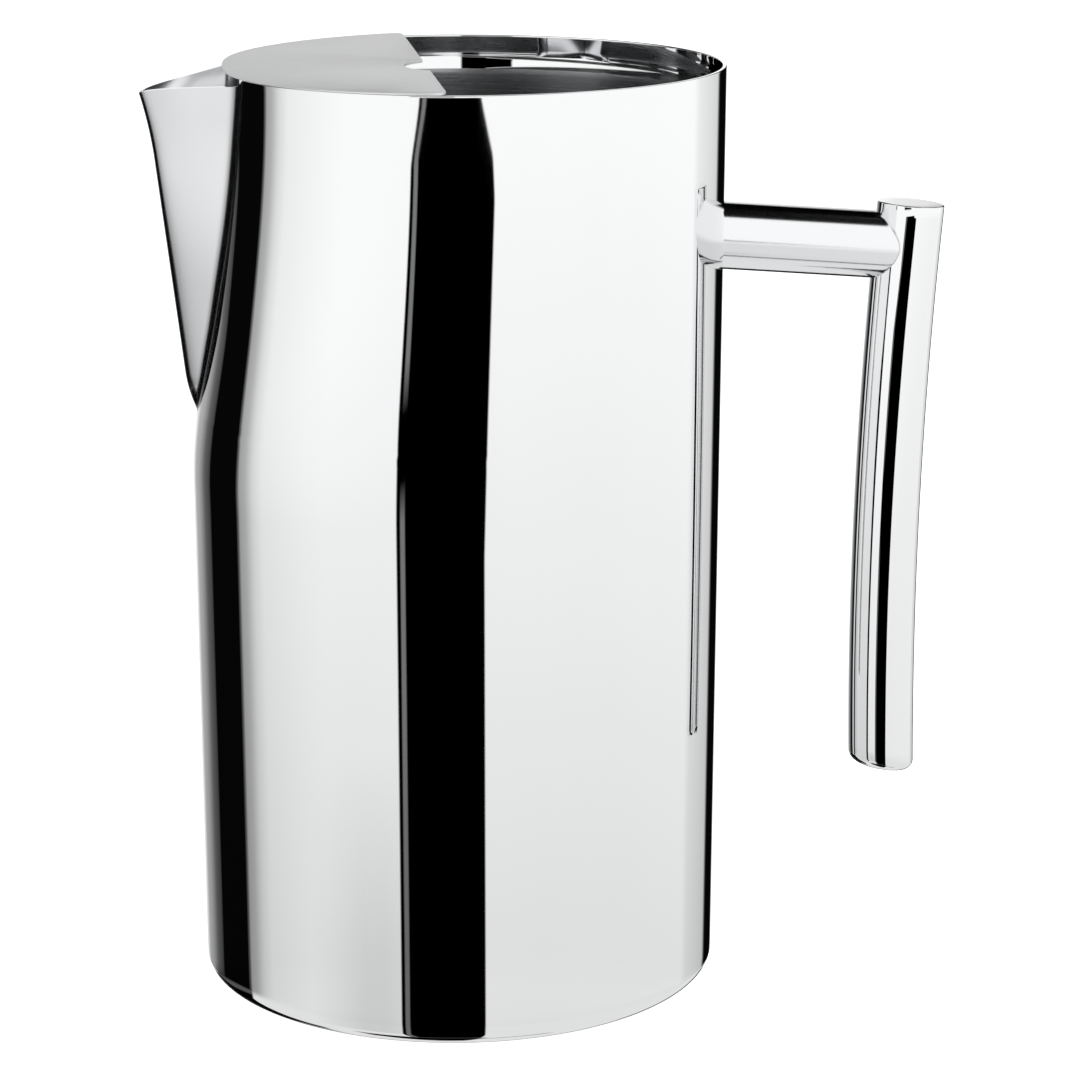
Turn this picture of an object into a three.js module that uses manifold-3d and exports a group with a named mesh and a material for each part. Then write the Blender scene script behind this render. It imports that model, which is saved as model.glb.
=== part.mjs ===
// Water pitcher in polished sheet steel: a straight-sided body drawn in towards its spout, a folded V spout
// over a cut-out in the wall, a flat ice guard across the spout half of the mouth, and a handle of two tubes.
// Millimetres, +Z up. The origin is on the body's axis at the base. +X points to the handle, -X to the spout.

import * as THREE from 'three';
import { mergeVertices } from 'three/addons/utils/BufferGeometryUtils.js';
import Module from 'manifold-3d';

const wasm = await Module();
wasm.setup();

// ---- Driving dimensions ----

const GAP = 0.25; // clearance left between pieces that are welded together
const SHEET = 0.9; // steel sheet of the body and the spout
const ROUND_SIDES = 60;

const BODY = { height: 193.9, rimR: 56, baseR: 54.9, baseCornerR: 2.4 };

// Above its start the spout side of the wall is drawn in, and a little further in a dent beside the spout.
const DRAW = { from: 107.7, in: 6.3, power: 1.75, dent: 2, dentHalf: 22, dentRise: 38, rimDip: 0.35 };

// Two slanted panels that meet at the keel. The seam with the wall is where the panels come out of it.
const SPOUT = {
  footZ: 122.6, rootZ: 192.6, tipZ: 189, lipPower: 0.65,
  keelR: 55.75, keelSlope: 0.116, footRound: 1.6, footRoundRise: 5, flare: 1.2, flareFrom: 175, flareHalf: 14,
  lowSlant: 0.65, highSlant: 0.835, slantFrom: 150, slantRise: 35,
  foldSoftness: 0.8, seamFootHalf: 1.2, seamMostHalf: 32, sheetAlongX: 1.25,
};

const GUARD = { thickness: 0.5, chordX: -6.5, cornerR: 3, notchR: 12, notchDepth: 4.5, notchY: -8.5 };

const ARM = { r: 7.2, boreR: 6.2, wallZ: 157.2, fallDeg: 4.5, weld: 0.7 };

// The grip is bowed towards the body: its axis is nearest to it at waistZ and leans out at the top.
const GRIP = {
  r: 7.1, boreR: 6.1, waistX: 92.6, waistZ: 70.7, bowR: 1110,
  topZ: 163.35, bottomZ: 39.4, bottomSlantDeg: 8.7,
  topCap: 1.2, bottomCap: 3.2, bottomRound: 2.2, topRound: 0.3,
};

// ---- Shapes that several pieces share ----

const wallR = (z) => BODY.baseR + (BODY.rimR - BODY.baseR) * z / BODY.height;

const smoothStep = (share) => THREE.MathUtils.smoothstep(share, 0, 1);

// How much nearer to the axis the wall is on the spout side, at height z and y to one side.
function drawDepth(y, z) {
  const share = THREE.MathUtils.clamp((z - DRAW.from) / (BODY.height - DRAW.from), 0, 1);
  const dent = DRAW.dent * smoothStep((z - DRAW.from) / DRAW.dentRise);
  return DRAW.in * Math.sin(share * Math.PI / 2) ** DRAW.power + dent * Math.exp(-((y / DRAW.dentHalf) ** 2));
}

// The outer wall's distance from the Y axis on the spout side.
function wallReach(y, z) {
  const r = wallR(z);
  return (r - drawDepth(y, z)) * Math.sqrt(Math.max(0, 1 - (y / r) ** 2));
}

// How far the rim, and the plate that lies on it, are lower than in the middle.
const rimDip = (x) => DRAW.rimDip * (Math.min(x, 0) / BODY.rimR) ** 2;

// Draws a round, upright shape in on its spout side, and lets the rim dip there as the sheet follows.
function drawIn(geometry) {
  const at = geometry.attributes.position;
  for (let i = 0; i < at.count; i++) {
    const x = at.getX(i), y = at.getY(i), z = at.getZ(i);
    if (x >= 0) continue;
    const drawnX = x * (1 - drawDepth(y, z) / wallR(z));
    const share = smoothStep((z - DRAW.from) / (BODY.height - DRAW.from));
    at.setX(i, drawnX);
    at.setZ(i, z - rimDip(drawnX) * share);
  }
  return geometry;
}

const gripX = (z) => GRIP.waistX + (z - GRIP.waistZ) ** 2 / (2 * GRIP.bowR);
const gripLean = (z) => (z - GRIP.waistZ) / GRIP.bowR;

// How far the lip turns out, which is most at its point.
function flareReach(y, z) {
  const up = Math.max(0, (z - SPOUT.flareFrom) / (SPOUT.tipZ - SPOUT.flareFrom));
  return SPOUT.flare * up ** 2 * (1 - smoothStep(Math.abs(y) / SPOUT.flareHalf));
}

function panelReach(y, z) {
  const foot = Math.max(0, 1 - (z - SPOUT.footZ) / SPOUT.footRoundRise);
  const keel = SPOUT.keelR + SPOUT.keelSlope * (z - SPOUT.footZ) - SPOUT.footRound * foot ** 2;
  const steep = smoothStep((z - SPOUT.slantFrom) / SPOUT.slantRise);
  const slant = THREE.MathUtils.lerp(SPOUT.lowSlant, SPOUT.highSlant, steep);
  return keel - slant * (Math.hypot(y, SPOUT.foldSoftness) - SPOUT.foldSoftness) + flareReach(y, z);
}

// Half the seam's width at height z, found by halving the span in which the panel goes into the wall.
function seamHalfAt(z) {
  let low = SPOUT.seamFootHalf, high = SPOUT.seamMostHalf;
  while (high - low > 0.001) {
    const middle = (low + high) / 2;
    if (panelReach(middle, z) > wallReach(middle, z)) low = middle;
    else high = middle;
  }
  return low;
}

// ---- Solids ----

// A lathed solid stands on the Z axis. Its profile is [radius, height] pairs that start and end on the axis.
function lathe(profile, sides = ROUND_SIDES) {
  const points = profile.map(([r, z]) => new THREE.Vector2(r, z));
  return new THREE.LatheGeometry(points, sides).rotateX(Math.PI / 2);
}

function cylinder(r, length, sides, topR = r) {
  return new THREE.CylinderGeometry(topR, r, length, sides).rotateX(Math.PI / 2).translate(0, 0, length / 2);
}

// Quarter-circle points about a centre, from one angle to another in degrees.
function arc(r, z, radius, fromDeg, toDeg, steps) {
  return Array.from({ length: steps + 1 }, (_, i) => {
    const angle = THREE.MathUtils.degToRad(fromDeg + (toDeg - fromDeg) * i / steps);
    return [r + radius * Math.cos(angle), z + radius * Math.sin(angle)];
  });
}

function toSolid(geometry) {
  const bare = geometry.clone();
  bare.deleteAttribute('normal');
  bare.deleteAttribute('uv');
  const merged = mergeVertices(bare, 1e-4);
  const index = merged.index.array;
  const triVerts = [];
  for (let i = 0; i < index.length; i += 3) {
    const [a, b, c] = index.slice(i, i + 3);
    if (a !== b && b !== c && c !== a) triVerts.push(a, b, c);
  }
  return new wasm.Manifold(new wasm.Mesh({
    numProp: 3,
    vertProperties: new Float32Array(merged.attributes.position.array),
    triVerts: new Uint32Array(triVerts),
  }));
}

function toGeometry(solid) {
  const mesh = solid.getMesh();
  const geometry = new THREE.BufferGeometry();
  geometry.setAttribute('position', new THREE.BufferAttribute(new Float32Array(mesh.vertProperties), 3));
  geometry.setIndex(new THREE.BufferAttribute(new Uint32Array(mesh.triVerts), 1));
  geometry.computeVertexNormals();
  return geometry;
}

// Moves a geometry made on the Z axis onto the arm's axis, which starts on the body's axis and falls outwards.
function ontoArm(geometry) {
  const fall = THREE.MathUtils.degToRad(ARM.fallDeg);
  const axisZ = ARM.wallZ + wallR(ARM.wallZ) * Math.tan(fall);
  return geometry.rotateY(Math.PI / 2 + fall).translate(0, 0, axisZ);
}

// The grip's path between two heights, as the parabola that its bow is.
function gripPath(fromZ, toZ) {
  const middle = (fromZ + toZ) / 2;
  const corner = new THREE.Vector3(gripX(fromZ) + gripLean(fromZ) * (middle - fromZ), 0, middle);
  const from = new THREE.Vector3(gripX(fromZ), 0, fromZ);
  return new THREE.QuadraticBezierCurve3(from, corner, new THREE.Vector3(gripX(toZ), 0, toZ));
}

function tubeAlong(path, r, boreR = 0) {
  const section = new THREE.Shape().absarc(0, 0, r, 0, Math.PI * 2);
  if (boreR > 0) section.holes.push(new THREE.Path().absarc(0, 0, boreR, 0, Math.PI * 2, true));
  const options = { steps: 14, curveSegments: 18, extrudePath: path, bevelEnabled: false };
  return new THREE.ExtrudeGeometry(section, options);
}

// ---- Pieces ----

// One drawn shell: flat base, rounded corner, wall with a little draft. The spout's cut-out runs up to the rim.
function bodyShell() {
  const { height, baseR, rimR, baseCornerR: corner } = BODY;
  const innerCorner = corner - SHEET;
  const rows = Array.from({ length: 9 }, (_, i) => DRAW.from + (height - DRAW.from) * i / 8);
  const outside = [...arc(baseR - corner, corner, corner, -90, 0, 6), ...rows.map((z) => [wallR(z), z])];
  const inside = [
    ...rows.slice().reverse().map((z) => [wallR(z) - SHEET, z]),
    ...arc(baseR - corner, corner, innerCorner, 0, -90, 5),
  ];
  const shell = toSolid(drawIn(lathe([[0, 0], ...outside, ...inside, [0, SHEET]])));

  const cutFoot = SPOUT.footZ - GAP;
  const sideZ = Array.from({ length: 25 }, (_, i) => THREE.MathUtils.lerp(cutFoot, height, (i / 24) ** 1.4));
  const side = [...sideZ, height + 5].map((z) => new THREE.Vector2(seamHalfAt(Math.min(z, height)) + GAP, z));
  const mirrored = side.slice().reverse().map((p) => new THREE.Vector2(-p.x, p.y));
  const outline = new THREE.Shape([...side, ...mirrored]);
  const cut = new THREE.ExtrudeGeometry(outline, { depth: rimR, bevelEnabled: false });
  const axes = [new THREE.Vector3(0, 1, 0), new THREE.Vector3(0, 0, 1), new THREE.Vector3(1, 0, 0)];
  cut.applyMatrix4(new THREE.Matrix4().makeBasis(...axes)).translate(-1.5 * rimR, 0, 0);
  return toGeometry(shell.subtract(toSolid(cut)));
}

// Two flat panels that meet in a soft fold, the keel. The sheet starts as a box: x is its thickness, y runs
// across from root to root and z runs up from the seam's foot to the lip.
function spout() {
  const sheet = new THREE.BoxGeometry(1, 1, 1, 1, 24, 24);
  const at = sheet.attributes.position;
  for (let i = 0; i < at.count; i++) {
    const across = 2 * at.getY(i);
    const up = (at.getZ(i) + 0.5) ** 1.4;
    const inward = (at.getX(i) + 0.5) * SPOUT.sheetAlongX;
    const lipZ = THREE.MathUtils.lerp(SPOUT.tipZ, SPOUT.rootZ, Math.abs(across) ** SPOUT.lipPower);
    const z = THREE.MathUtils.lerp(SPOUT.footZ, lipZ, up);
    const y = seamHalfAt(THREE.MathUtils.lerp(SPOUT.footZ, SPOUT.rootZ, up)) * across;
    at.setXYZ(i, inward - Math.max(panelReach(y, z), wallReach(y, z)), y, z);
  }
  return sheet;
}

// Flat D-shaped plate on the rim. Its straight edge has a shallow round notch.
function iceGuard() {
  const { chordX, cornerR, notchR, notchDepth, notchY, thickness } = GUARD;
  const { rimR, height } = BODY;
  const reach = rimR - DRAW.in;
  const start = Math.asin((cornerR - chordX) / reach);
  const endY = rimR * Math.sqrt(1 - (chordX / reach) ** 2) - cornerR;
  const notchX = chordX + notchR - notchDepth;
  const notchTurn = Math.acos((notchR - notchDepth) / notchR);
  const rim = Array.from({ length: 49 }, (_, i) => {
    const y = rimR * Math.cos(THREE.MathUtils.lerp(start, Math.PI - start, i / 48));
    return new THREE.Vector2(-wallReach(y, height), y);
  });

  const outline = new THREE.Shape(rim);
  outline.quadraticCurveTo(chordX, -endY - cornerR, chordX, -endY);
  outline.lineTo(chordX, notchY - notchR * Math.sin(notchTurn));
  outline.absarc(notchX, notchY, notchR, Math.PI + notchTurn, Math.PI - notchTurn, true);
  outline.lineTo(chordX, endY);
  outline.quadraticCurveTo(chordX, endY + cornerR, rim[0].x, rim[0].y);

  const options = { depth: thickness, bevelEnabled: false, curveSegments: 16 };
  const plate = new THREE.ExtrudeGeometry(outline, options);
  const at = plate.attributes.position;
  for (let i = 0; i < at.count; i++) at.setZ(i, at.getZ(i) + height + GAP - rimDip(at.getX(i)));
  return plate;
}

const bodyEnvelope = () => toSolid(
  cylinder(BODY.baseR + GAP, BODY.height, ROUND_SIDES, BODY.rimR + GAP));

// A tube coped to the wall at one end and to the grip at the other.
function handleArm() {
  const length = gripX(ARM.wallZ);
  const bore = cylinder(ARM.boreR, length + 20, 36);
  const tube = toSolid(ontoArm(cylinder(ARM.r, length, 36))).subtract(toSolid(ontoArm(bore)));
  const grip = toSolid(tubeAlong(gripPath(GRIP.bottomZ, GRIP.topZ), GRIP.r + GAP));
  return toGeometry(tube.subtract(bodyEnvelope()).subtract(grip));
}

// The bead that joins the arm to the wall: a short cone round the arm.
function armWeld() {
  const length = 3 * ARM.weld;
  const start = wallR(ARM.wallZ) + ARM.weld - length;
  const cone = cylinder(ARM.r + GAP + length, length, 36, ARM.r + GAP + 0.1).translate(0, 0, start);
  const arm = cylinder(ARM.r + GAP, 2 * GRIP.waistX, 36);
  return toGeometry(toSolid(ontoArm(cone)).subtract(toSolid(ontoArm(arm))).subtract(bodyEnvelope()));
}

// Places a piece made on the Z axis, with its foot at z = 0, at the grip's slanted bottom end.
function ontoBottomEnd(geometry) {
  const slant = THREE.MathUtils.degToRad(GRIP.bottomSlantDeg);
  return geometry.rotateY(slant).translate(gripX(GRIP.bottomZ), 0, GRIP.bottomZ);
}

const tubeTopZ = GRIP.topZ - GRIP.topCap - GAP;

function handleGrip() {
  const belowEnd = GRIP.bottomZ - 2 * GRIP.bottomCap;
  const tube = toSolid(tubeAlong(gripPath(belowEnd, tubeTopZ), GRIP.r, GRIP.boreR));
  const waste = cylinder(3 * GRIP.r, 40, 12).translate(0, 0, GRIP.bottomCap + GAP - 40);
  return toGeometry(tube.subtract(toSolid(ontoBottomEnd(waste))));
}

function gripTopCap() {
  const { r, topCap, topRound } = GRIP;
  const profile = [[0, 0], [r, 0], ...arc(r - topRound, topCap - topRound, topRound, 0, 90, 2), [0, topCap]];
  const lean = gripLean(GRIP.topZ);
  return lathe(profile, 36).rotateY(lean).translate(gripX(GRIP.topZ) - topCap * lean, 0, GRIP.topZ - topCap);
}

function gripBottomCap() {
  const { r, bottomCap, bottomRound } = GRIP;
  const edge = arc(r - bottomRound, bottomRound, bottomRound, -90, 0, 5);
  return ontoBottomEnd(lathe([[0, 0], ...edge, [r, bottomCap], [0, bottomCap]], 36));
}

// ---- Assembly ----

const polished = { color: 0xd4d6d8, roughness: 0.06, metalness: 1 };
const satin = { color: 0xc6c7c9, roughness: 0.38, metalness: 1 };

const pieces = [
  ['body_shell', bodyShell(), polished],
  ['spout', spout(), polished],
  ['ice_guard', iceGuard(), satin],
  ['handle_arm', handleArm(), polished],
  ['arm_weld', armWeld(), polished],
  ['handle_grip', handleGrip(), polished],
  ['grip_top_cap', gripTopCap(), polished],
  ['grip_bottom_cap', gripBottomCap(), polished],
];

const pitcher = new THREE.Group();
for (const [name, geometry, finish] of pieces) {
  const mesh = new THREE.Mesh(geometry, new THREE.MeshStandardMaterial(finish));
  mesh.name = name;
  pitcher.add(mesh);
}

export default pitcher;
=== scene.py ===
"""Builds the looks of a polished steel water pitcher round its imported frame.

Laid out as an add-on: settings, one operator for each piece and one for the stage, and a sidebar panel that
lists them. Metres, +Z up, +X to the handle, -X to the spout, the origin on the body's axis at the base.
"""

import functools
import math

import bmesh
import bpy
from bpy.props import FloatProperty, FloatVectorProperty, IntProperty, PointerProperty
from mathutils import Matrix, Vector


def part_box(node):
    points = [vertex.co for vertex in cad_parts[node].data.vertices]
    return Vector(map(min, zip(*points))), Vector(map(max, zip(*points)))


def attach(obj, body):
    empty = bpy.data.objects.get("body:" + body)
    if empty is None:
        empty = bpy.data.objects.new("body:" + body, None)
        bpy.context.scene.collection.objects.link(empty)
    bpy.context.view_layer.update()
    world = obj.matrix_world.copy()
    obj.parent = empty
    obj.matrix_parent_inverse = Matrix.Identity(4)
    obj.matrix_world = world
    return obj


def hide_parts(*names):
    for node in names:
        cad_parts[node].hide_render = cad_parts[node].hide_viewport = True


bl_info = {
    "name": "Water Pitcher",
    "version": (1, 0, 0),
    "blender": (4, 5, 0),
    "location": "View3D > Sidebar > Pitcher",
    "description": "Builds a polished steel water pitcher with an ice guard round its packed frame",
    "category": "Add Mesh",
}

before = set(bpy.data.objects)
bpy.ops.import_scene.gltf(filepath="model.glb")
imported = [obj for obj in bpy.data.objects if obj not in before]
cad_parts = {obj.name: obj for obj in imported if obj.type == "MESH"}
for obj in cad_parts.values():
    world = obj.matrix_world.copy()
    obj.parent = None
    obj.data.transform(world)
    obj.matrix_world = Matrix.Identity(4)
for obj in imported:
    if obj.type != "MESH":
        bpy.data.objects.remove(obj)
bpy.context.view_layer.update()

MM = 0.001
BODY_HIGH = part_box("body_shell")[1]


# ---- Settings ----

def length(name, description, default, **more):
    return FloatProperty(name=name, description=description, default=default, unit="LENGTH", **more)


def colour(name, description, default):
    return FloatVectorProperty(name=name, description=description, default=default, subtype="COLOR",
                               size=3, min=0, max=1)


def share(name, description, default):
    return FloatProperty(name=name, description=description, default=default, subtype="FACTOR", min=0, max=1)


class BodySettings(bpy.types.PropertyGroup):
    rim_radius: length("Rim radius", "Outer radius of the wall at the rim", BODY_HIGH.y)
    base_radius: length("Base radius", "Outer radius of the wall at the base", 54.9 * MM)
    height: length("Height", "Height of the rim", BODY_HIGH.z)
    corner: length("Base corner", "Radius between the base and the wall", 2.4 * MM)
    sheet: length("Sheet", "Thickness of the steel sheet", 0.9 * MM)
    draw_from: length("Draw from", "Height where the spout side starts to draw in", 107.7 * MM)
    draw_in: length("Draw in", "How far the rim's spout side is drawn in", 6.3 * MM)
    dent: length("Dent", "How much further the wall is drawn in close to the spout", 2 * MM)
    dent_width: length("Dent width", "How far off the middle the dent fades", 22 * MM)
    dent_rise: length("Dent rise", "Height over which the dent deepens", 38 * MM)
    rim_dip: length("Rim dip", "How far the rim dips at the spout", 0.35 * MM)
    rim_band: length("Polished band", "Depth of the polished band inside the rim", 5.2 * MM)
    step: length("Step", "How far the inner wall steps in below the band", 0.5 * MM)
    step_rise: length("Step rise", "Height of the step", 2.3 * MM)
    sides: IntProperty(name="Sides", description="Steps round the wall", default=224, min=32)


class SpoutSettings(bpy.types.PropertyGroup):
    foot: length("Foot", "Height of the spout's lowest point", 122.6 * MM)
    root: length("Root", "Height of the lip at the wall", 192.6 * MM)
    tip: length("Tip", "Height of the lip at its point", 189 * MM)
    lip_width: length("Lip width", "Half the lip's width at the wall", 24 * MM)
    lip_rise: share("Lip rise", "How quickly the lip rises from its point", 0.65)
    keel_reach: length("Keel reach", "The keel's distance from the axis at the foot", 55.75 * MM)
    keel_slope: share("Keel slope", "How far the keel leans out for its rise", 0.116)
    foot_round: length("Foot rounding", "How far the keel turns in at the foot", 1.3 * MM)
    foot_rise: length("Foot rounding rise", "Height of the keel's rounded foot", 8 * MM)
    flare: length("Flare", "How far the lip flares at its point", 1.2 * MM)
    flare_from: length("Flare from", "Height where the flare starts", 175 * MM)
    flare_half: length("Flare width", "How far off the middle the flare fades", 14 * MM)
    low_slant: FloatProperty(name="Lower slant", description="How steeply the panels fall back low down",
                             default=0.82)
    high_slant: FloatProperty(name="Upper slant", description="The same at the lip", default=0.95)
    slant_from: length("Slant from", "Height where the panels start to get steeper", 150 * MM)
    slant_rise: length("Slant rise", "Height over which they do", 35 * MM)
    softness: length("Fold softness", "Rounding of the fold between the panels", 1.9 * MM)
    fillet: length("Fillet", "Depth of the fillet along the seam", 0.5 * MM)
    skirt: length("Skirt", "Width of the wall that goes with the spout past its seam", 3 * MM)


class GuardSettings(bpy.types.PropertyGroup):
    height: length("Height", "Height of the plate's top in the middle", 194.6 * MM)
    dip: share("Dip", "How far the plate falls towards the spout for its reach", 0.018)
    gap: length("Gap", "Clearance between the plate and the rim", 0.03 * MM)
    chord: length("Straight edge", "Where the plate's straight edge is along X", -6.5 * MM)
    corner: length("Corner", "Rounding of the corners at the ends of the straight edge", 3 * MM)
    notch_radius: length("Notch radius", "Radius of the notch in the straight edge", 12 * MM)
    notch_depth: length("Notch depth", "How far the notch cuts into the plate", 4.5 * MM)
    notch_place: length("Notch place", "Where the notch is along Y", -8.5 * MM)


class HandleSettings(bpy.types.PropertyGroup):
    arm_radius: length("Arm radius", "Outer radius of the arm", 7.2 * MM)
    tube_radius: length("Grip radius", "Outer radius of the grip", 7.1 * MM)
    arm_height: length("Arm height", "Height of the arm's axis at the wall", 157.2 * MM)
    arm_fall: FloatProperty(name="Arm fall", description="Angle by which the arm falls outwards",
                            default=math.radians(4.5), subtype="ANGLE")
    grip_waist: length("Grip waist", "Distance of the grip's axis where it is nearest to the body", 92.6 * MM)
    waist_height: length("Waist height", "Height of that point", 70.7 * MM)
    bow: length("Bow radius", "Radius of the grip's bow", 1110 * MM)
    top: length("Top", "Height of the grip's axis at its top end", 163.35 * MM)
    bottom: length("Bottom", "Height of the grip's axis at its bottom end", 39.4 * MM)
    slant: FloatProperty(name="Bottom slant", description="Slant of the bottom end",
                         default=math.radians(8.7), subtype="ANGLE")
    bottom_round: length("Bottom rounding", "Radius of the bottom end's edge", 2.2 * MM)
    saddle: length("Saddle", "How far short of the grip's axis the arm ends at its sides", 2.8 * MM)
    weld: length("Weld", "How far the arm's end is rounded over and drawn back at its sides", 0.7 * MM)
    root: length("Root", "How far the arm goes into the wall", 0.3 * MM)


class FinishSettings(bpy.types.PropertyGroup):
    mirror: colour("Mirror steel", "Colour of the polished steel", (0.86, 0.865, 0.87))
    satin: colour("Satin steel", "Colour of the ice guard", (0.74, 0.745, 0.75))
    brushed: colour("Brushed steel", "Colour of the inside", (0.52, 0.53, 0.54))
    polish: share("Polish", "Roughness of the polished steel", 0.02)
    backdrop: colour("Backdrop", "Colour of the floor and the surround", (1.0, 1.0, 1.0))


class PitcherSettings(bpy.types.PropertyGroup):
    body: PointerProperty(type=BodySettings)
    spout: PointerProperty(type=SpoutSettings)
    guard: PointerProperty(type=GuardSettings)
    handle: PointerProperty(type=HandleSettings)
    finish: PointerProperty(type=FinishSettings)


def settings():
    return bpy.context.scene.pitcher


# ---- Shader nodes ----

class Nodes:
    """Adds nodes to a material's or a world's tree."""

    def __init__(self, owner):
        owner.use_nodes = True
        self.tree = owner.node_tree
        self.tree.nodes.clear()

    def add(self, kind, options=None, **inputs):
        """A node of a kind. options are set first, then each input by its name, or by its place as in_0."""
        node = self.tree.nodes.new(kind)
        for name, value in (options or {}).items():
            if name == "stops":
                set_stops(node.color_ramp, value)
            else:
                setattr(node, name, value)
        for name, value in inputs.items():
            place = int(name[3:]) if name.startswith("in_") else name.replace("_", " ")
            self.feed(node.inputs[place], value)
        return node

    def feed(self, socket, value):
        if isinstance(value, Field):
            value = value.socket
        if isinstance(value, bpy.types.NodeSocket):
            self.tree.links.new(value, socket)
        else:
            socket.default_value = value

    def field(self, socket):
        return Field(self, socket)

    def mix(self, amount, low, high):
        """Blends two colours."""
        node = self.add("ShaderNodeMix", {"data_type": "RGBA"}, in_0=amount, in_6=low, in_7=high)
        return node.outputs[2]


class Field:
    """A number that varies over a surface. Arithmetic on it adds Math nodes."""

    def __init__(self, nodes, socket):
        self.nodes, self.socket = nodes, socket

    def math(self, operation, *values, clamp=False):
        places = {f"in_{i}": value for i, value in enumerate((self, *values))}
        node = self.nodes.add("ShaderNodeMath", {"operation": operation, "use_clamp": clamp}, **places)
        return Field(self.nodes, node.outputs[0])

    def __add__(self, other):
        return self.math("ADD", other)

    __radd__ = __add__

    def __mul__(self, other):
        return self.math("MULTIPLY", other)

    __rmul__ = __mul__

    def __sub__(self, other):
        return self.math("SUBTRACT", other)

    def __rsub__(self, other):
        return -1 * self + other


def set_stops(ramp, stops):
    """stops are (place, grey or colour) pairs."""
    while len(ramp.elements) > 1:
        ramp.elements.remove(ramp.elements[-1])
    for i, (place, value) in enumerate(stops):
        element = ramp.elements[0] if i == 0 else ramp.elements.new(place)
        element.position = place
        element.color = (*value, 1) if hasattr(value, "__len__") else (value, value, value, 1)


def new_finish(name):
    material = bpy.data.materials.new(name)
    return material, Nodes(material)


def surface(nodes, **inputs):
    """The principled metal that every finish ends in."""
    shader = nodes.add("ShaderNodeBsdfPrincipled", None, **inputs)
    nodes.add("ShaderNodeOutputMaterial", None, Surface=shader.outputs[0])


def place_on_piece(nodes, scale):
    """Object coordinates in metres, stretched by a scale for each axis."""
    at = nodes.add("ShaderNodeTexCoord").outputs["Object"]
    return nodes.add("ShaderNodeMapping", None, Vector=at, Scale=scale).outputs[0]


def noise(nodes, scale, size, detail=2.0):
    """Noise stretched along each axis by scale: a small number there draws it out into strokes."""
    place = place_on_piece(nodes, scale)
    node = nodes.add("ShaderNodeTexNoise", None, Vector=place, Scale=size, Detail=detail)
    return nodes.field(node.outputs["Fac"])


def mirror_steel(name="mirror_steel", wave=0.02):
    """Buffed sheet: a mirror with very fine buffing marks and a trace of waviness."""
    material, nodes = new_finish(name)
    finish = settings().finish
    haze = noise(nodes, (1, 1, 0.2), 60, 3)
    marks = noise(nodes, (1, 1, 40), 90, 4)
    waves = noise(nodes, (1, 1, 0.5), 26, 1)
    tone = nodes.mix(haze, tuple(v * 0.97 for v in finish.mirror) + (1,), (*finish.mirror, 1))
    bump = nodes.add("ShaderNodeBump", None, Strength=wave, Distance=0.0002, Height=waves + marks * 0.004)
    rough = haze * 0.012 + marks * 0.01 + finish.polish - 0.011
    surface(nodes, Base_Color=tone, Metallic=1.0, Roughness=rough, Normal=bump.outputs[0])
    return material


def satin_steel():
    """Sheet with a fine, even satin grain."""
    material, nodes = new_finish("satin_steel")
    finish = settings().finish
    cloud = noise(nodes, (1, 1, 1), 70, 3)
    grain = noise(nodes, (1, 0.12, 1), 2600, 2)
    speck = noise(nodes, (1, 1, 1), 900, 2)
    tone = nodes.mix(cloud, tuple(v * 0.93 for v in finish.satin) + (1,), (*finish.satin, 1))
    bump = nodes.add("ShaderNodeBump", None, Strength=0.3, Distance=0.00005, Height=grain + speck * 0.8)
    surface(nodes, Base_Color=tone, Metallic=0.6, Roughness=grain * 0.1 + 0.36, Normal=bump.outputs[0])
    return material


def brushed_steel():
    """The inside: brushed round and round, so the marks are level."""
    material, nodes = new_finish("brushed_steel")
    finish = settings().finish
    cloud = noise(nodes, (1, 1, 0.6), 45, 2)
    strokes = noise(nodes, (0.02, 0.02, 1), 3200, 3)
    tone = nodes.mix(cloud, tuple(v * 0.85 for v in finish.brushed) + (1,), (*finish.brushed, 1))
    bump = nodes.add("ShaderNodeBump", None, Strength=0.25, Distance=0.00005, Height=strokes)
    surface(nodes, Base_Color=tone, Metallic=1.0, Roughness=strokes * 0.12 + 0.2, Normal=bump.outputs[0])
    return material


# ---- Meshes ----

def clamp(value, low=0.0, high=1.0):
    return min(max(value, low), high)


def blend(low, high, amount):
    return low + (high - low) * amount


def smooth_step(value):
    value = clamp(value)
    return value * value * (3 - 2 * value)


def finish_piece(bm, name, slot, materials, *nodes, smooth_angle=35):
    """Turns a bmesh into a piece that rides on the root and stands for CAD nodes."""
    mesh = bpy.data.meshes.new(name)
    for face in bm.faces:
        face.smooth = True
    for edge in bm.edges:
        if len(edge.link_faces) == 2 and edge.calc_face_angle() > math.radians(smooth_angle):
            edge.smooth = False
    bm.to_mesh(mesh)
    bm.free()
    for material in materials:
        mesh.materials.append(material)
    piece = bpy.data.objects.new(name, mesh)
    bpy.context.scene.collection.objects.link(piece)
    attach(piece, "root")
    if nodes:
        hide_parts(*nodes)
    return piece


def outward(bm, merge=1e-7):
    bmesh.ops.remove_doubles(bm, verts=bm.verts, dist=merge)
    bmesh.ops.recalc_face_normals(bm, faces=bm.faces)


def strip(bm, points):
    """A chain of edges through points."""
    verts = [bm.verts.new(point) for point in points]
    return verts, [bm.edges.new(pair) for pair in zip(verts, verts[1:])]


def spin(bm, points, steps):
    """A full turn of an outline about the Z axis."""
    verts, edges = strip(bm, points)
    bmesh.ops.spin(bm, geom=verts + edges, cent=(0, 0, 0), axis=(0, 0, 1), angle=math.tau, steps=steps,
                   use_merge=True)
    outward(bm)


def arc(centre_r, centre_z, radius, start, end, steps):
    """(distance, height) pairs on an arc, angles in degrees."""
    angles = [math.radians(blend(start, end, i / steps)) for i in range(steps + 1)]
    return [(centre_r + radius * math.cos(a), centre_z + radius * math.sin(a)) for a in angles]


# ---- The wall and the spout ----

def wall_radius(z):
    body = settings().body
    return blend(body.base_radius, body.rim_radius, z / body.height)


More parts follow.
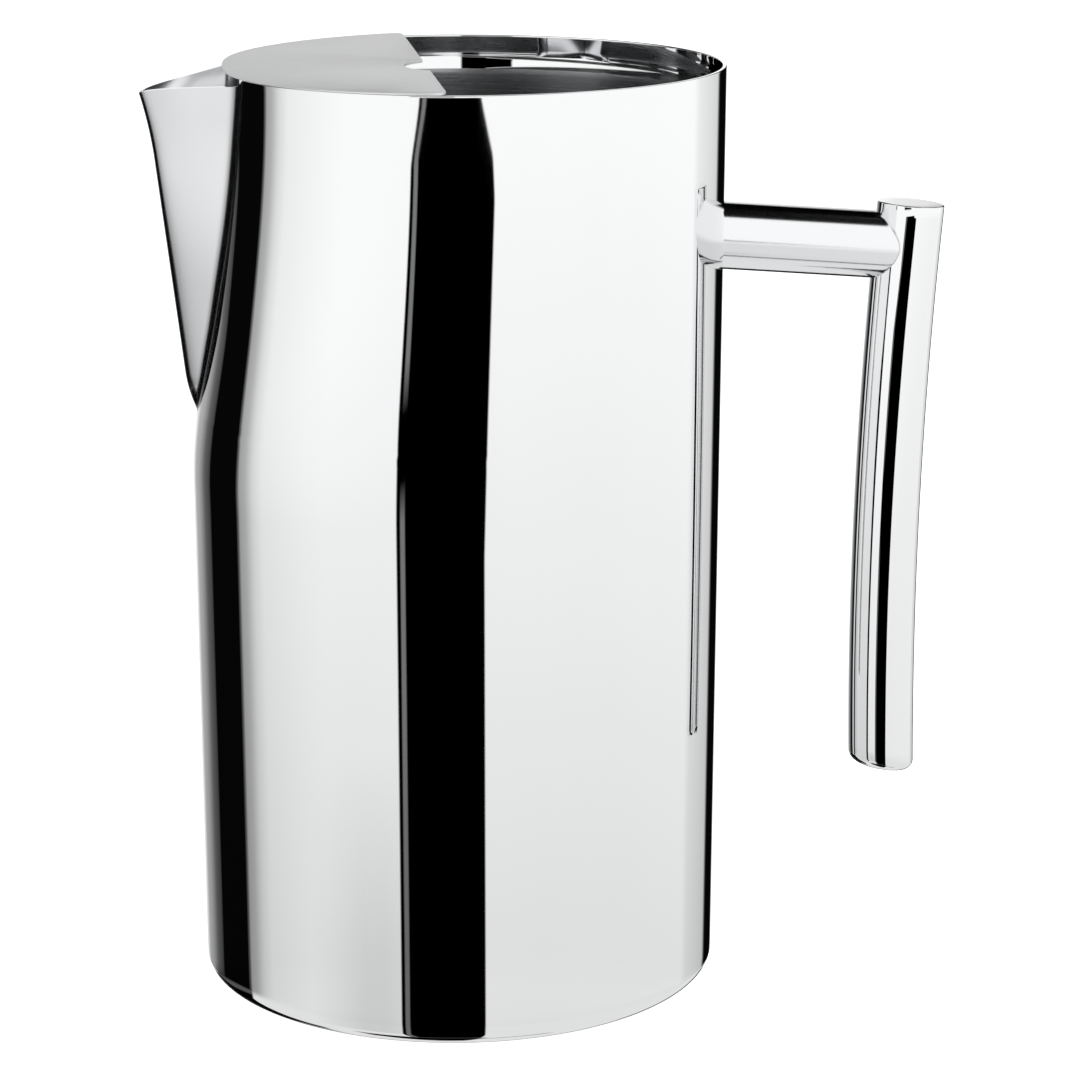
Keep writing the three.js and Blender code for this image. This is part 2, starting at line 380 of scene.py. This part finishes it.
def draw_depth(y, z):
    """How much nearer to the axis the wall is on the spout side, off the middle by y."""
    body = settings().body
    rise = clamp((z - body.draw_from) / (body.height - body.draw_from))
    dent = body.dent * smooth_step((z - body.draw_from) / body.dent_rise)
    return body.draw_in * math.sin(rise * math.pi / 2) ** 1.75 + dent * math.exp(-(y / body.dent_width) ** 2)


def draw_in(co):
    """Moves a point of the round wall to where it is once the spout side has been drawn in."""
    if co.x < 0:
        co.x *= 1 - draw_depth(co.y, co.z) / wall_radius(co.z)


def dip_rim(co):
    """Lowers the rim a little towards the spout."""
    body = settings().body
    if co.x < 0:
        co.z -= body.rim_dip * smooth_step((co.z - body.draw_from) / (body.height - body.draw_from)) * (
            co.x / body.rim_radius) ** 2


def wall_reach(y, z):
    """How far the drawn-in wall reaches towards the spout, off the middle by y."""
    radius = wall_radius(z)
    return (radius - draw_depth(y, z)) * math.sqrt(max(0, 1 - (y / radius) ** 2))


def keel_reach(z):
    """How far the fold between the spout's panels reaches at a height, without the lip's flare."""
    spout = settings().spout
    foot = max(0, 1 - (z - spout.foot) / spout.foot_rise)
    return spout.keel_reach + spout.keel_slope * (z - spout.foot) - spout.foot_round * foot ** 2


def flare_reach(y, z):
    """How far the lip turns out, which is most at its point."""
    spout = settings().spout
    up = max(0, (z - spout.flare_from) / (spout.tip - spout.flare_from))
    return spout.flare * up ** 2 * (1 - smooth_step(abs(y) / spout.flare_half))


def panel_reach(y, z):
    """How far a panel reaches, off the middle by y."""
    spout = settings().spout
    slant = blend(spout.low_slant, spout.high_slant, smooth_step((z - spout.slant_from) / spout.slant_rise))
    return keel_reach(z) - slant * (math.hypot(y, spout.softness) - spout.softness) + flare_reach(y, z)


def seam_half(z):
    """Half the width of the spout's seam with the wall at a height."""
    return find_seam(round(z / MM, 1) * MM)


@functools.lru_cache(maxsize=None)
def find_seam(z):
    """Halves the span in which the panel goes into the wall."""
    low, high = 0, 32 * MM
    for _ in range(18):
        middle = (low + high) / 2
        if panel_reach(middle, z) > wall_reach(middle, z):
            low = middle
        else:
            high = middle
    return low


def pull_out(co):
    """Pulls a point of the drawn-in wall out to the spout, with a fillet along the seam."""
    wall, panel = wall_reach(co.y, co.z), panel_reach(co.y, co.z)
    width = settings().spout.fillet * (1 + 2 * smooth_step(seam_half(co.z) / (10 * MM)))
    overlap = max(0, width - abs(wall - panel))
    co.x -= max(wall, panel) + overlap ** 2 / (4 * width) - wall


def skirt_half(z):
    return seam_half(z) + settings().spout.skirt


def skirt_foot():
    spout = settings().spout
    return spout.foot - spout.skirt


def lip_height(y):
    """Height of the spout's top edge off the middle by y, before the rim's dip."""
    spout, body = settings().spout, settings().body
    soft = 1 * MM
    across = clamp((math.hypot(y, soft) - soft) / (spout.lip_width - soft))
    lip = blend(spout.tip, spout.root, across ** spout.lip_rise)
    return blend(lip, body.height, smooth_step((abs(y) - seam_half(body.height)) / spout.skirt))


def body_rows():
    """(distance, height) pairs of the outside, from the middle of the base up to the rim."""
    body = settings().body
    foot, base = skirt_foot(), wall_radius(0)
    corner = arc(base - body.corner, body.corner, body.corner, -90, 0, 14)
    rings = [(corner[0][0] * i / 6, 0) for i in range(6)]
    lower = [blend(body.corner, foot, (i + 1) / 62) for i in range(62)]
    upper = [blend(foot, body.height - 1.8 * MM, (i + 1) / 52) for i in range(52)]
    upper += [body.height - gap * MM for gap in (1.2, 0.7, 0.4, 0)]
    return rings + corner + [(wall_radius(z), z) for z in lower + upper]


def make_room_for_spout(bm):
    """Slides the wall's upright lines apart, so that one on each side follows the spout's skirt."""
    body = settings().body
    foot = skirt_foot()
    lines = 9
    even = lines * math.tau / body.sides
    for vert in bm.verts:
        x, y, z = vert.co
        radius = math.hypot(x, y)
        if radius < 1 * MM or z < body.corner:
            continue
        edge = math.asin(skirt_half(max(z, foot)) / radius)
        edge = blend(edge, even, smooth_step((foot - z) / (50 * MM)))
        angle = math.atan2(y, -x)
        turn = abs(angle)
        if turn <= even * 1.0001:
            turn *= edge / even
        else:
            turn = edge + (math.pi - edge) * (turn - even) / (math.pi - even)
        turn = math.copysign(turn, angle)
        vert.co = (-radius * math.cos(turn), radius * math.sin(turn), z)
    inside = [face for face in bm.faces if inside_skirt(face.calc_center_median())]
    bmesh.ops.delete(bm, geom=inside, context="FACES")


def inside_skirt(co):
    margin = 0.05 * MM
    return co.x < 0 and co.z > skirt_foot() and abs(co.y) < skirt_half(co.z) - margin


def thicken(bm, sheet):
    """Gives a skin its thickness on the inner side."""
    bmesh.ops.recalc_face_normals(bm, faces=bm.faces)
    outwards = sum(1 if face.normal.dot(face.calc_center_median()) > 0 else -1 for face in bm.faces)
    if outwards < 0:
        bmesh.ops.reverse_faces(bm, faces=bm.faces)
    bmesh.ops.solidify(bm, geom=bm.faces[:], thickness=sheet)
    bm.normal_update()


def round_rim(bm, low):
    """Breaks the sharp edges of the rim's cut face."""
    edges = [
        edge for edge in bm.edges
        if len(edge.link_faces) == 2 and edge.calc_face_angle() > math.radians(50)
        and min(low(vert.co) for vert in edge.verts) > 0
    ]
    bmesh.ops.bevel(bm, geom=edges, offset=0.22 * MM, segments=3, profile=0.5, affect="EDGES", material=-1)


class PITCHER_OT_body(bpy.types.Operator):
    """Builds the drawn body: base, wall and rim"""
    bl_idname = "pitcher.body"
    bl_label = "Body"

    def execute(self, context):
        find_seam.cache_clear()
        body = settings().body
        bm = bmesh.new()
        spin(bm, [(-r, 0, z) for r, z in body_rows()], body.sides)
        make_room_for_spout(bm)
        for vert in bm.verts:
            draw_in(vert.co)
            dip_rim(vert.co)
        thicken(bm, body.sheet)
        self.step_inner_wall(bm)
        round_rim(bm, lambda co: co.z - (body.height - body.rim_dip - 0.2 * MM))
        band_foot = body.height - body.rim_band - body.step_rise
        for face in bm.faces:
            centre = face.calc_center_median()
            inner_wall = face.normal.dot(Vector((centre.x, centre.y, 0))) < 0
            inner_floor = centre.z < 2 * MM and face.normal.z > 0.5
            face.material_index = int((inner_wall or inner_floor) and centre.z < band_foot)
        finish_piece(bm, "body", "mirror_steel", [mirror_steel(), brushed_steel()], "body_shell")
        return {"FINISHED"}

    def step_inner_wall(self, bm):
        """Lets the inner wall step in below the polished band at the rim."""
        body = settings().body
        edge = body.height - body.rim_band
        for vert in bm.verts:
            radial = Vector((vert.co.x, vert.co.y, 0))
            inner = vert.normal.dot(radial) < 0
            if inner and body.sheet * 3 < vert.co.z < edge:
                amount = clamp((edge - vert.co.z) / body.step_rise)
                vert.co -= radial.normalized() * body.step * amount


class PITCHER_OT_spout(bpy.types.Operator):
    """Builds the spout: two panels, the fold between them and a skirt that runs into the wall"""
    bl_idname = "pitcher.spout"
    bl_label = "Spout"

    def execute(self, context):
        find_seam.cache_clear()
        body = settings().body
        bm = bmesh.new()
        bmesh.ops.create_grid(bm, x_segments=150, y_segments=170, size=1)
        foot = skirt_foot()
        levels = {}
        for vert in bm.verts:
            across, up = vert.co.x, (vert.co.y + 1) / 2
            level = blend(foot, body.height, up)
            key = round(up * 1000)
            if key not in levels:
                levels[key] = skirt_half(level)
            y = across * levels[key]
            z = blend(foot, lip_height(y), up)
            vert.co = (-math.sqrt(wall_radius(z) ** 2 - y * y), y, z)
            draw_in(vert.co)
            pull_out(vert.co)
            dip_rim(vert.co)
        thicken(bm, body.sheet)
        finish_piece(bm, "spout_beak", "mirror_steel", [bpy.data.materials["mirror_steel"]], "spout")
        return {"FINISHED"}


# ---- The ice guard ----

def rounded_corner(first, tip, last):
    """A curve from first to last that a corner's tip pulls on."""
    curve = []
    for i in range(13):
        t = i / 12
        curve.append(tuple(blend(blend(a, b, t), blend(b, c, t), t) for a, b, c in zip(first, tip, last)))
    return curve


def guard_outline():
    """The plate's outline in plan, from its notched straight edge round the spout side."""
    body, guard = settings().body, settings().guard
    chord, corner = guard.chord, guard.corner
    centre_x = chord + guard.notch_radius - guard.notch_depth
    notch = math.acos((centre_x - chord) / guard.notch_radius)
    points = []
    for i in range(25):
        turn = blend(-notch, notch, i / 24)
        x = centre_x - guard.notch_radius * math.cos(turn)
        points.append((x, guard.notch_place + guard.notch_radius * math.sin(turn)))
    start = math.asin(-chord / (body.rim_radius - body.draw_in))
    across = [body.rim_radius * math.cos(blend(start, math.pi - start, i / 160)) for i in range(161)]
    rim = [(-wall_reach(y, body.height), y) for y in across]
    left, right = rim[0], rim[-1]
    kept = [point for point in rim
            if min(math.dist(point, (chord, end[1])) for end in (left, right)) > corner]
    points += rounded_corner((chord, left[1] - corner), left, kept[0])
    points += kept[1:-1]
    points += rounded_corner(kept[-1], right, (chord, right[1] + corner))
    return points


def guard_top(x):
    guard = settings().guard
    return guard.height + guard.dip * x


class PITCHER_OT_ice_guard(bpy.types.Operator):
    """Builds the flat guard plate with its notch"""
    bl_idname = "pitcher.ice_guard"
    bl_label = "Ice guard"

    def execute(self, context):
        body = settings().body
        bm = bmesh.new()
        verts = [bm.verts.new((x, y, 0)) for x, y in guard_outline()]
        plate = bm.faces.new(verts)
        grown = bmesh.ops.extrude_face_region(bm, geom=[plate])["geom"]
        top = [part for part in grown if isinstance(part, bmesh.types.BMVert)]
        bmesh.ops.translate(bm, verts=top, vec=(0, 0, 1))
        bmesh.ops.recalc_face_normals(bm, faces=bm.faces)
        for vert in bm.verts:
            x = vert.co.x
            seat = body.height - body.rim_dip * (x / body.rim_radius) ** 2 + settings().guard.gap
            vert.co.z = blend(seat, guard_top(x), vert.co.z)
        rim = [edge for edge in bm.edges if edge.calc_face_angle() > math.radians(60)
               and all(vert in top for vert in edge.verts)]
        bmesh.ops.bevel(bm, geom=rim, offset=0.1 * MM, segments=2, profile=0.5, affect="EDGES", material=-1)
        bmesh.ops.triangulate(bm, faces=[face for face in bm.faces if len(face.verts) > 4])
        finish_piece(bm, "ice_guard_plate", "satin_steel", [satin_steel()], "ice_guard")
        return {"FINISHED"}


# ---- The handle ----

def grip_axis(z):
    handle = settings().handle
    return handle.grip_waist + (z - handle.waist_height) ** 2 / (2 * handle.bow)


def grip_lean(z):
    handle = settings().handle
    return (z - handle.waist_height) / handle.bow


class PITCHER_OT_grip(bpy.types.Operator):
    """Builds the bowed upright tube and its two closed ends"""
    bl_idname = "pitcher.grip"
    bl_label = "Grip"

    def execute(self, context):
        handle = settings().handle
        radius, rounding = handle.tube_radius, handle.bottom_round
        steel = mirror_steel("handle_steel", 0.01)
        span = handle.top - handle.bottom
        edge = 0.35 * MM
        rows = [(radius - rounding, 0)] + arc(radius - rounding, rounding, rounding, -90, 0, 10)[1:]
        rows += [(radius, blend(rounding, span - edge, (i + 1) / 60)) for i in range(60)]
        rows += arc(radius - edge, span - edge, edge, 0, 90, 4)[1:]
        rows = [(radius * 0.5, 0)] + rows + [(radius * 0.5, span)]
        bm = bmesh.new()
        spin(bm, [(0, 0, rows[0][1])] + [(r, 0, z) for r, z in rows] + [(0, 0, span)], 96)
        for vert in bm.verts:
            x, y, up = vert.co
            z = handle.bottom + up
            lean = grip_lean(z)
            near_foot = 1 - smooth_step(up / (30 * MM))
            slope = blend(-lean, -math.tan(handle.slant), near_foot)
            vert.co = (grip_axis(z) + x, y, z + slope * x)
        finish_piece(bm, "grip_tube", "handle_steel", [steel],
                     "handle_grip", "grip_top_cap", "grip_bottom_cap")
        return {"FINISHED"}


class PITCHER_OT_arm(bpy.types.Operator):
    """Builds the arm, coped to the wall and to the grip, with its end rounded over at the grip"""
    bl_idname = "pitcher.arm"
    bl_label = "Arm"

    def execute(self, context):
        handle = settings().handle
        radius, grip = handle.arm_radius, handle.tube_radius
        fall = math.tan(handle.arm_fall)
        wall = wall_radius(handle.arm_height)
        bm = bmesh.new()
        steps, sides, lip = 60, 96, 5
        bmesh.ops.create_circle(bm, cap_ends=False, radius=1, segments=sides)
        ring = bm.edges[:]
        for _ in range(steps + lip):
            grown = bmesh.ops.extrude_edge_only(bm, edges=ring)["geom"]
            ring = [part for part in grown if isinstance(part, bmesh.types.BMEdge)]
            lifted = [part for part in grown if isinstance(part, bmesh.types.BMVert)]
            bmesh.ops.translate(bm, verts=lifted, vec=(0, 0, 1))
        for vert in bm.verts:
            row = round(vert.co.z)
            curl = math.radians(90) * max(0, row - steps) / lip
            size = radius - handle.weld * (1 - math.cos(curl))
            across, up = vert.co.x * size, vert.co.y * size
            start = math.sqrt(wall ** 2 - across ** 2) - handle.root
            guess = handle.arm_height - fall * (handle.grip_waist - wall) + up
            keep = 1 - (handle.saddle / grip) ** 2
            end = grip_axis(guess) - math.sqrt(max(0, grip ** 2 - keep * across ** 2))
            end -= handle.weld * abs(vert.co.x) ** 3
            x = blend(start, end, min(1, row / steps)) + handle.weld * math.sin(curl)
            vert.co = (x, across, handle.arm_height - fall * (x - wall) + up)
        bmesh.ops.recalc_face_normals(bm, faces=bm.faces)
        finish_piece(bm, "arm_tube", "handle_steel", [bpy.data.materials["handle_steel"]],
                     "handle_arm", "arm_weld")
        return {"FINISHED"}


# ---- The stage ----

# Direction from the object to the camera, in degrees.
CAMERA_SIDE = -95.24
# Light round the horizon: (degrees from the camera's side, brightness).
RING = (
    (-180, 1), (-165, 0.85), (-159, 0.45), (-152, 0.38), (-147, 0.25), (-143, 0.12),
    (-136.5, 0.06), (-135, 0.002), (-110, 0.002), (-109, 0.36), (-104, 0.46), (-99, 0.72),
    (-93, 0.87), (-80, 0.93), (-70, 0.97), (-60, 1), (120, 1), (125, 0.85),
    (146, 0.66), (148.5, 0.1), (149.5, 0.002), (167, 0.002), (169, 0.6), (174, 1),
)
# How the light fades with height: (degrees above the horizon, brightness).
RISE = ((-90, 0.86), (-24, 0.86), (-22, 0.76), (-16, 0.87), (-12, 0.94), (-8, 1), (90, 1))
# The wide flag's edges by height: (degrees above the horizon, degrees from the camera's side).
FLAG_LEFT = ((-30, -26), (-12, -26), (-8.3, -25), (-7.8, -21.5), (-7.2, -19), (0, -18))
FLAG_RIGHT = (
    (-30, 11.4), (-15.3, 11.6), (-13.7, 12.7), (-9.3, 16.3), (-8.6, 15.6), (-7.9, 12), (-7.3, 9), (0, 8),
)
# A ramp holds values from 0 to 1, so the flag's edges are stored as shares of this many degrees.
FLAG_SPAN = 60


def ramp(nodes, value, low, high, stops):
    """A curve through (value, brightness) stops."""
    points = [((place - low) / (high - low), brightness) for place, brightness in stops]
    node = nodes.add("ShaderNodeValToRGB", {"stops": points}, Fac=(value - low) * (1 / (high - low)))
    return nodes.field(node.outputs[0])


def step(value, softness):
    """From 0 to 1 as a value passes 0."""
    return (value * (1 / softness) + 0.5).math("ADD", 0, clamp=True)


def band(value, low, high, softness):
    """1 between two values."""
    return step(value - low, softness) * step(high - value, softness)


class PITCHER_OT_stage(bpy.types.Operator):
    """Sets the floor, the surround, the lights and the camera"""
    bl_idname = "pitcher.stage"
    bl_label = "Stage"

    def execute(self, context):
        scene = context.scene
        scene.view_settings.view_transform = "Standard"
        self.floor()
        self.surround(scene)
        self.camera(scene)
        return {"FINISHED"}

    def floor(self):
        bm = bmesh.new()
        bmesh.ops.create_grid(bm, x_segments=1, y_segments=1, size=4)
        mesh = bpy.data.meshes.new("floor")
        bm.to_mesh(mesh)
        bm.free()
        material, nodes = new_finish("pale_floor")
        speck = noise(nodes, (1, 1, 1), 4, 2)
        white = (*settings().finish.backdrop, 1)
        tone = nodes.mix(speck, white, tuple(v * 0.985 for v in white[:3]) + (1,))
        surface(nodes, Base_Color=tone, Roughness=0.9, Emission_Color=tone, Emission_Strength=0.75)
        mesh.materials.append(material)
        floor = bpy.data.objects.new("floor", mesh)
        bpy.context.scene.collection.objects.link(floor)
        floor.visible_glossy = False

    def surround(self, scene):
        """A white studio with black flags, painted round the horizon and by height."""
        world = bpy.data.worlds.new("studio")
        scene.world = world
        nodes = Nodes(world)
        at = nodes.add("ShaderNodeTexCoord").outputs["Generated"]
        parts = nodes.add("ShaderNodeSeparateXYZ", None, Vector=at).outputs
        x, y, z = (nodes.field(part) for part in parts)
        front = math.radians(CAMERA_SIDE)
        turn = (y.math("ARCTAN2", x) - front).math("WRAP", math.pi, -math.pi) * (180 / math.pi)
        rise = z.math("ARCSINE") * (180 / math.pi)
        ring = ramp(nodes, turn, -180, 180, RING)
        shade = ramp(nodes, rise, -90, 90, RISE)
        # the wide flag leans and has a round top, with a pale line down its left edge
        stops = [(height, 1 + edge / FLAG_SPAN) for height, edge in FLAG_LEFT]
        left = ramp(nodes, rise, -30, 0, stops) * FLAG_SPAN - FLAG_SPAN
        stops = [(height, edge / FLAG_SPAN) for height, edge in FLAG_RIGHT]
        right = ramp(nodes, rise, -30, 0, stops) * FLAG_SPAN
        flag = step(turn - left, 0.7) * step(right - turn, 0.7) * band(rise, -50, -5, 0.4)
        line = band(turn - left, 1.7, 3.7, 0.6) * (1 - band(rise, -14, -11.5, 1)) * 0.2
        flag = flag * (1 - line)
        # the low strip, the dark roof that goes on behind, the lens, and the left band's foot
        strip = band(rise, -86, -50, 3) * band(turn, -62, 14, 6)
        roof = step(rise - 66, 4)
        behind = step(turn.math("ABSOLUTE") - 130, 12) * step(rise - 33, 4)
        low_back = step(turn.math("ABSOLUTE") - 150, 6) * band(rise, -48, -24.5, 2)
        seam = band(rise, -66, -62, 1) * step(70 - turn.math("ABSOLUTE"), 5) * 0.8
        lens = band(turn, -26, -3, 1) * band(rise, 3, 30, 2)
        left_low = band(turn, -150, -109, 1.5) * band(rise, -60, -22.5, 2)
        dusk = band(turn, -56, -20, 26) * band(rise, -30, -20.5, 4) * 0.2
        dark = 1 - flag
        for part in (strip, roof, behind, low_back, seam, lens, left_low, dusk):
            dark = dark * (1 - part)
        low_ring = step(rise + 23, 1)
        light = (low_ring * ring + (1 - low_ring) * 0.9) * shade * dark
        above = band(rise, -6.5, 64, 3) * band(turn, -76, 125, 12)
        light = light.math("MAXIMUM", above * dark * 0.98)
        tone = nodes.mix(light, (0, 0, 0, 1), (1, 1, 1, 1))
        lights = nodes.add("ShaderNodeBackground", None, Color=tone, Strength=1.12)
        nodes.add("ShaderNodeOutputWorld", None, Surface=lights.outputs[0])

    def camera(self, scene):
        data = bpy.data.cameras.new("camera")
        data.sensor_width = 36
        data.lens = 114.93
        data.clip_start = 0.01
        camera = bpy.data.objects.new("camera", data)
        scene.collection.objects.link(camera)
        ahead = Vector((0.11125, 0.96265, -0.24682)).normalized()
        right = ahead.cross(Vector((0, 0, 1))).normalized()
        above = right.cross(ahead)
        turn = Matrix((right, above, -ahead)).transposed().to_4x4()
        camera.matrix_world = Matrix.Translation((-0.06447, -0.70303, 0.27327)) @ turn
        scene.camera = camera


# ---- Panel and registration ----

PIECES = (
    PITCHER_OT_body,
    PITCHER_OT_spout,
    PITCHER_OT_ice_guard,
    PITCHER_OT_grip,
    PITCHER_OT_arm,
    PITCHER_OT_stage,
)
GROUPS = (BodySettings, SpoutSettings, GuardSettings, HandleSettings, FinishSettings, PitcherSettings)


class PITCHER_PT_panel(bpy.types.Panel):
    """Lists the pieces and their settings"""
    bl_label = "Water pitcher"
    bl_idname = "PITCHER_PT_panel"
    bl_space_type = "VIEW_3D"
    bl_region_type = "UI"
    bl_category = "Pitcher"

    def draw(self, context):
        for piece in PIECES:
            self.layout.operator(piece.bl_idname)
        for group in ("body", "spout", "guard", "handle", "finish"):
            box = self.layout.box()
            values = getattr(context.scene.pitcher, group)
            for name in values.bl_rna.properties.keys():
                if name not in ("rna_type", "name"):
                    box.prop(values, name)


def register():
    for group in (*GROUPS, *PIECES, PITCHER_PT_panel):
        bpy.utils.register_class(group)
    bpy.types.Scene.pitcher = PointerProperty(type=PitcherSettings)


def unregister():
    del bpy.types.Scene.pitcher
    for group in reversed((*GROUPS, *PIECES, PITCHER_PT_panel)):
        bpy.utils.unregister_class(group)


def main():
    register()
    for piece in PIECES:
        category, name = piece.bl_idname.split(".")
        getattr(getattr(bpy.ops, category), name)()


if __name__ == "__main__":
    main()
